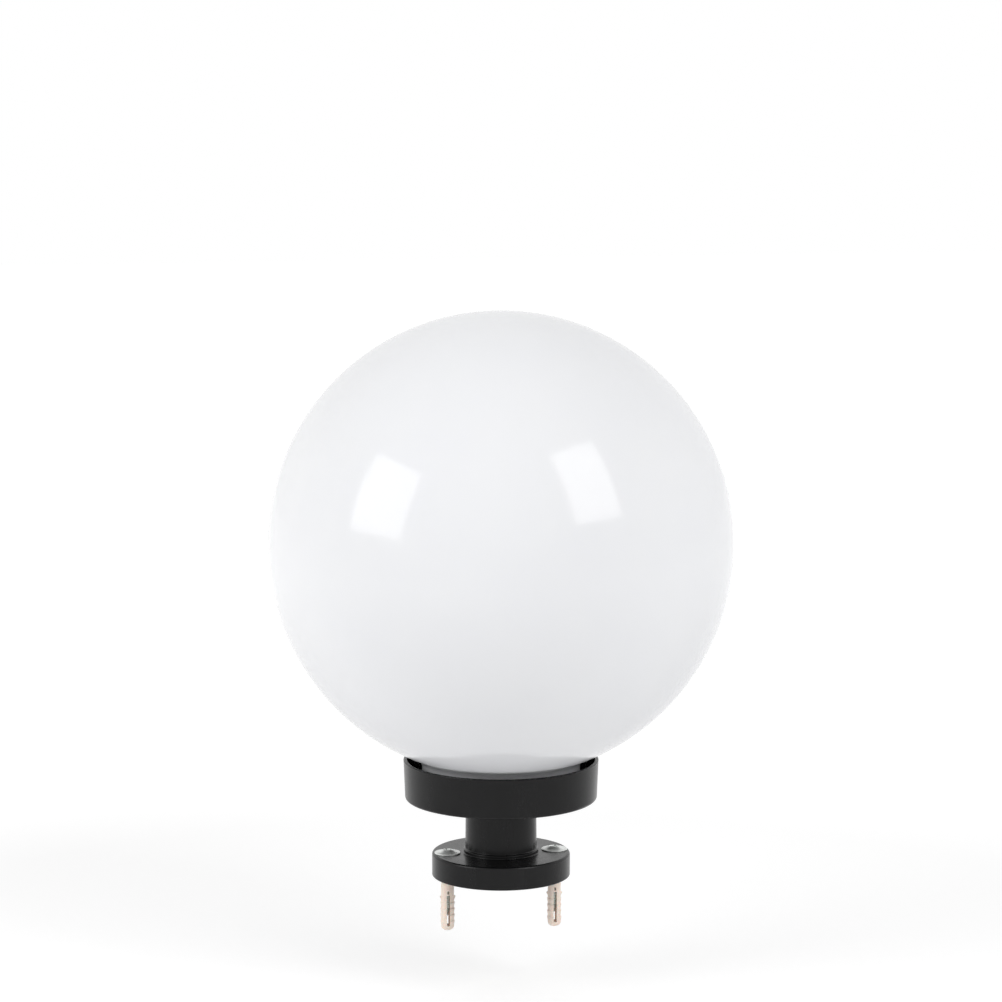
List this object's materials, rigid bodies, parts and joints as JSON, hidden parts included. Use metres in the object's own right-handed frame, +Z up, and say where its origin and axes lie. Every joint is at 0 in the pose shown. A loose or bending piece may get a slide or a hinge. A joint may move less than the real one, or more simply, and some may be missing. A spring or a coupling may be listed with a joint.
{
  "type": "garden globe light",
  "caption": "Globe light for a garden pillar: an opal ball in a black dish-shaped fitter with a porcelain lamp holder, locked by a screw on a short flanged tube",
  "frame": {"origin": "middle of the foot flange's underside, where the light stands on the masonry", "axes": "+Z up along the tube to the top of the ball; +X through the two fixing holes; the lock screw lies 16 degrees from +X towards -Y"},
  "size_m": [0.25, 0.25, 0.3368],
  "materials": {
    "opal_acrylic": "glossy white opal that diffuses light",
    "black_moulding": "black, softly glossy moulding",
    "porcelain": "pale grey-white glazed porcelain",
    "nickelled_steel": "thin nickelled sheet",
    "brass": "pale turned brass",
    "zinc_steel": "bright zinc plating with a faint green-grey cast",
    "black_rubber": "matt black",
    "plug_nylon": "beige-pink nylon, softly matt"
  },
  "bodies": {
    "post": {"post": "black_moulding"},
    "fitter": {"fitter_body": "black_moulding", "globe_seal": "black_rubber", "holder_cup": "black_moulding", "cup_screws": "zinc_steel", "holder_bracket": "zinc_steel", "cable_grommet": "black_rubber", "lamp_holder": "porcelain", "screw_shell": "nickelled_steel", "centre_contact": "brass", "contact_rivets": "brass", "live_terminal": "brass", "neutral_terminal": "brass", "terminal_screws": "zinc_steel", "holder_screws": "zinc_steel", "lock_insert": "brass"},
    "globe": {"globe": "opal_acrylic"},
    "lock_washer": {"lock_washer": "black_rubber"},
    "lock_screw": {"lock_screw": "brass"},
    "fixing_screw_left": {"fixing_screw_left": "zinc_steel"},
    "fixing_screw_right": {"fixing_screw_right": "zinc_steel"},
    "wall_plug_left": {"wall_plug_left": "plug_nylon"},
    "wall_plug_right": {"wall_plug_right": "plug_nylon"}
  },
  "joints": [
    {"name": "fitter_lift", "type": "slide", "parent": "post", "child": "fitter", "axis": [0, 0, 1], "range_m": [0, 0.0486]},
    {"name": "globe_lift", "type": "slide", "parent": "fitter", "child": "globe", "axis": [0, 0, 1], "range_m": [0, 0.102]},
    {"name": "lock_screw_travel", "type": "slide", "parent": "fitter", "child": "lock_washer", "axis": [0.9613, -0.2756, 0], "range_m": [0, 0.0012]},
    {"name": "lock_screw_turn", "type": "hinge", "parent": "lock_washer", "child": "lock_screw", "pos_m": [0.03451, -0.00989, 0.0708], "axis": [0.9613, -0.2756, 0], "range_deg": [0, 617.2]},
    {"name": "left_screw_lift", "type": "slide", "parent": "post", "child": "fixing_screw_left", "axis": [0, 0, 1], "range_m": [0, 0.0486]},
    {"name": "right_screw_lift", "type": "slide", "parent": "post", "child": "fixing_screw_right", "axis": [0, 0, 1], "range_m": [0, 0.0486]},
    {"name": "left_plug_drop", "type": "slide", "parent": "post", "child": "wall_plug_left", "axis": [0, 0, -1], "range_m": [0, 0.0252]},
    {"name": "right_plug_drop", "type": "slide", "parent": "post", "child": "wall_plug_right", "axis": [0, 0, -1], "range_m": [0, 0.0274]}
  ],
  "couplings": [
    {"joint": "lock_screw_turn", "follows": "lock_screw_travel", "rad_per_m": 8976},
    {"joint": "left_screw_lift", "follows": "fitter_lift", "ratio": 1},
    {"joint": "right_screw_lift", "follows": "fitter_lift", "ratio": 1}
  ]
}
